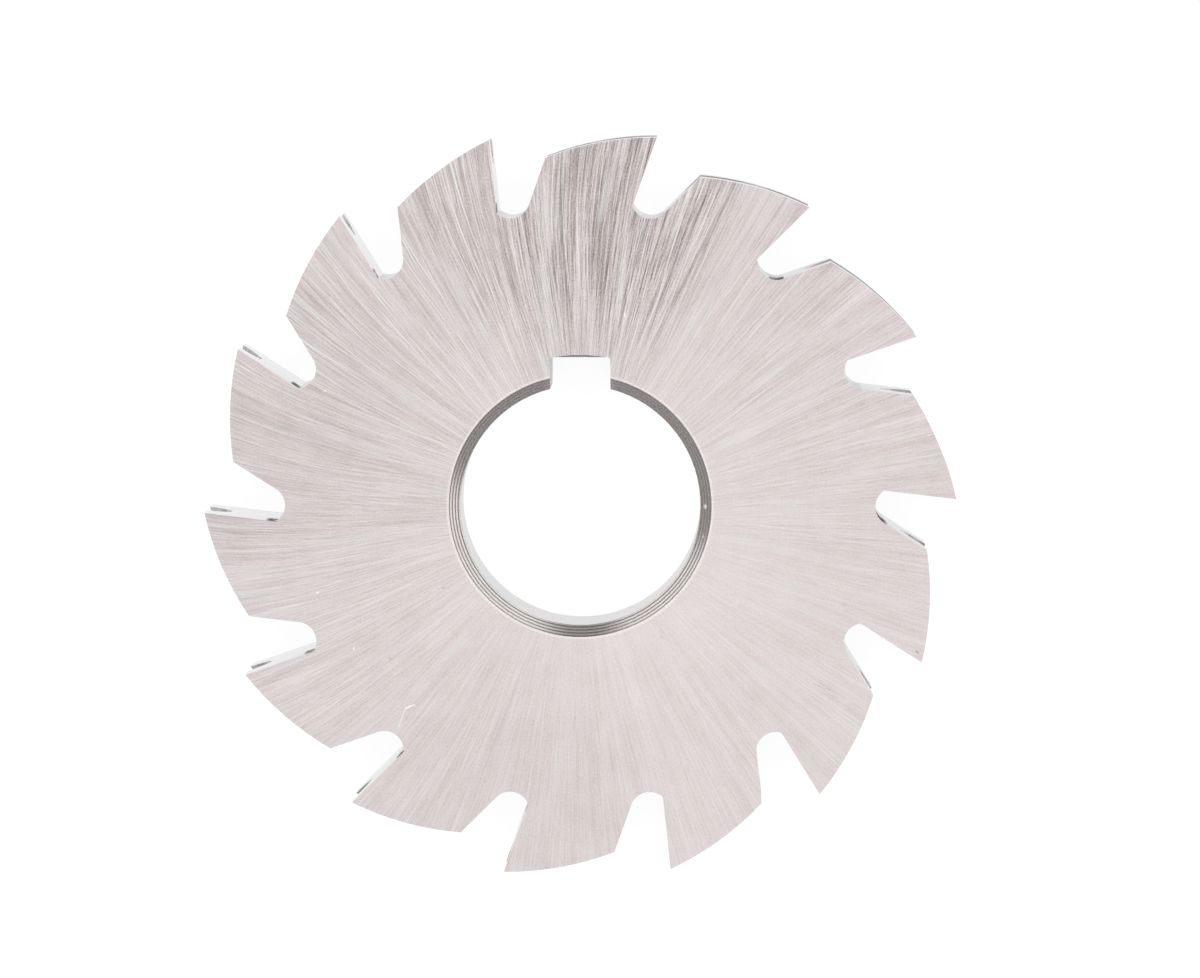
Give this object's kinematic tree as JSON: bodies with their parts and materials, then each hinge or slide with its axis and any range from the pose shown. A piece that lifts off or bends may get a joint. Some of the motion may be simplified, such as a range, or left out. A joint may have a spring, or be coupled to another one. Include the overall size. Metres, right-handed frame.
{
  "type": "concave milling cutter",
  "caption": "Flat steel disc cutter on a keyed bore, with form-relieved teeth that carry a half-round groove and mill a round bead along an edge.",
  "frame": {"origin": "on the bore's axis, at the lower side face that the cutter lies on", "axes": "+Z along the bore's axis, up from the face that the cutter lies on; +Y towards the keyway; seen from +Z the teeth cut clockwise"},
  "size_m": [0.05, 0.049, 0.008],
  "materials": {
    "ground_steel": "bright ground high-speed steel, streaked along the radius on the side faces, turned rings on the bore's chamfers"
  },
  "bodies": {
    "root": {"concave_cutter": "ground_steel"}
  },
  "joints": []
}
